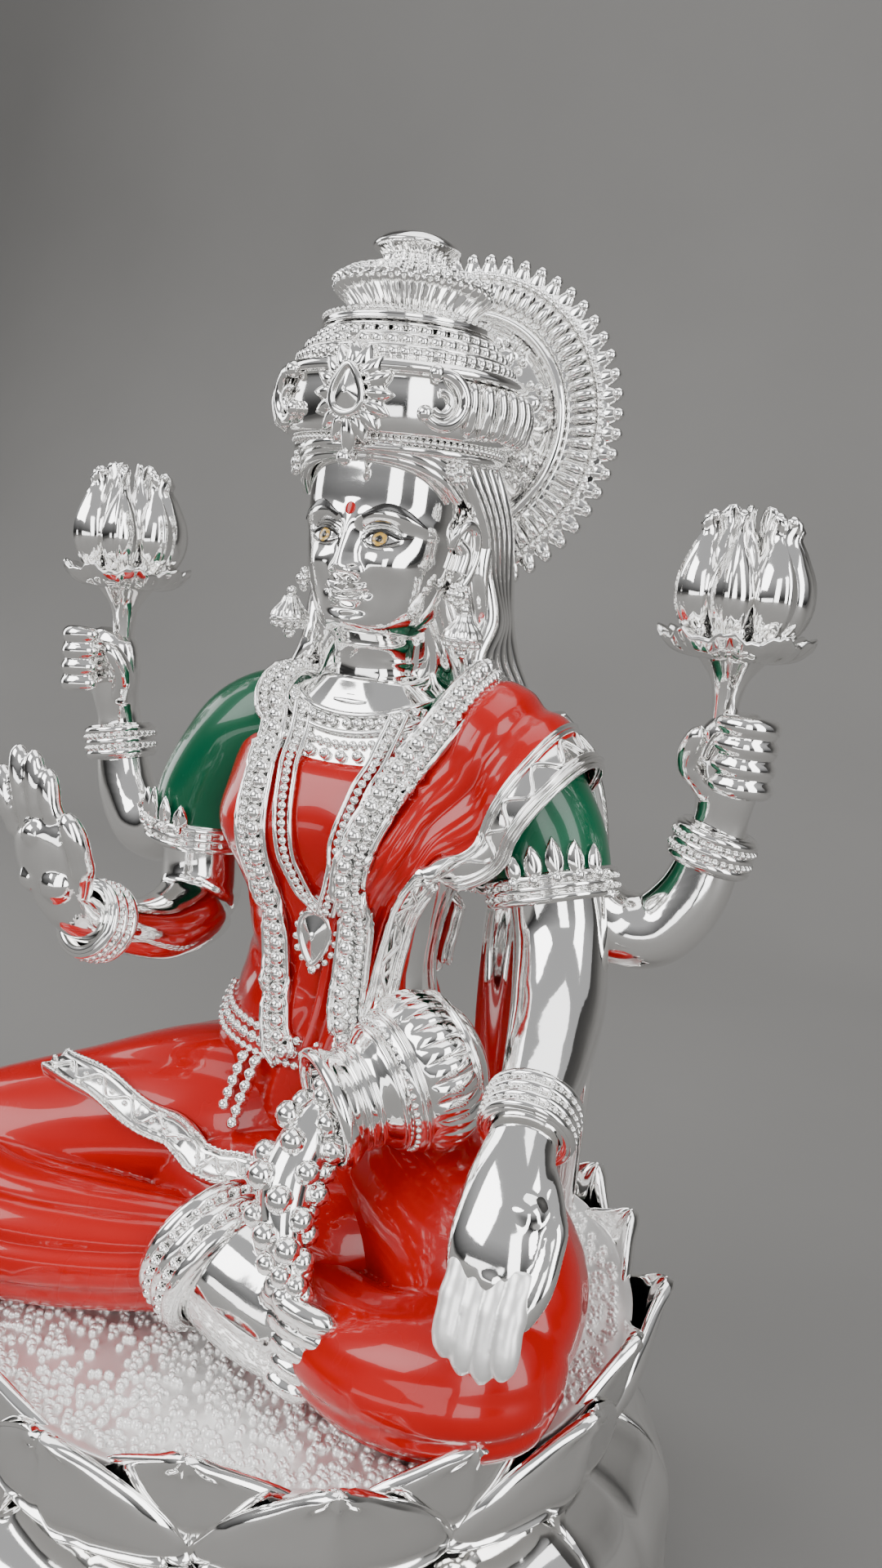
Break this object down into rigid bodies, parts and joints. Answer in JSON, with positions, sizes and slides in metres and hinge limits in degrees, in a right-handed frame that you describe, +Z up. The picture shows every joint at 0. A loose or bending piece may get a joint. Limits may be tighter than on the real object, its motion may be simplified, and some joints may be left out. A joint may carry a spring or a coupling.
{
  "type": "seated deity figurine",
  "caption": "Silver-plated seated four-armed goddess figurine with red and green enamel, lotus buds, coin pot, halo and tiered crown on a lotus pedestal.",
  "frame": {"origin": "centre of the felt's flat underside, on the table", "axes": "+Z up, the figure faces -Y, its left side is +X"},
  "size_m": [0.1216, 0.1196, 0.2033],
  "materials": {
    "silver": "bright silver plating, mirror polished",
    "bright_silver": "silver plating on beaded and engraved castings, frosted white by its fine texture",
    "red_enamel": "glossy hand-painted red enamel over the plating",
    "green_enamel": "glossy hand-painted deep green enamel over the plating",
    "steel": "plain machined steel",
    "felt": "black glued felt"
  },
  "bodies": {
    "root": {"anklet": "silver", "base_cover": "steel", "coin_stream": "silver", "collar": "bright_silver", "crown_band": "silver", "crown_cap": "silver", "crown_crest": "silver", "crown_pot": "bright_silver", "crown_tier": "bright_silver", "felt_pad": "felt", "foot_ring": "silver", "hair": "silver", "halo": "silver", "head": "silver", "hold_down_screw": "steel", "hold_down_washer": "steel", "inner_petals": "silver", "lap_sash": "silver", "left_armlet": "silver", "left_crown_scroll": "silver", "left_earring": "bright_silver", "left_front_arm": "silver", "left_front_bangles": "silver", "left_garland": "bright_silver", "left_leg": "red_enamel", "left_lotus": "silver", "left_rear_arm": "silver", "left_rear_bangles": "silver", "left_sleeve": "green_enamel", "long_necklace": "bright_silver", "lower_petals": "silver", "money_pot": "silver", "outer_petals": "silver", "pedestal_core": "silver", "pendant": "silver", "right_armlet": "silver", "right_crown_scroll": "silver", "right_earring": "bright_silver", "right_foot": "silver", "right_front_arm": "silver", "right_front_bangles": "silver", "right_garland": "bright_silver", "right_leg": "red_enamel", "right_lotus": "silver", "right_rear_arm": "silver", "right_rear_bangles": "silver", "right_sleeve": "green_enamel", "sari_border": "silver", "sari_drape": "red_enamel", "sari_fall": "silver", "seat_disc": "bright_silver", "torso": "silver", "waist_ring": "bright_silver"}
  },
  "joints": []
}
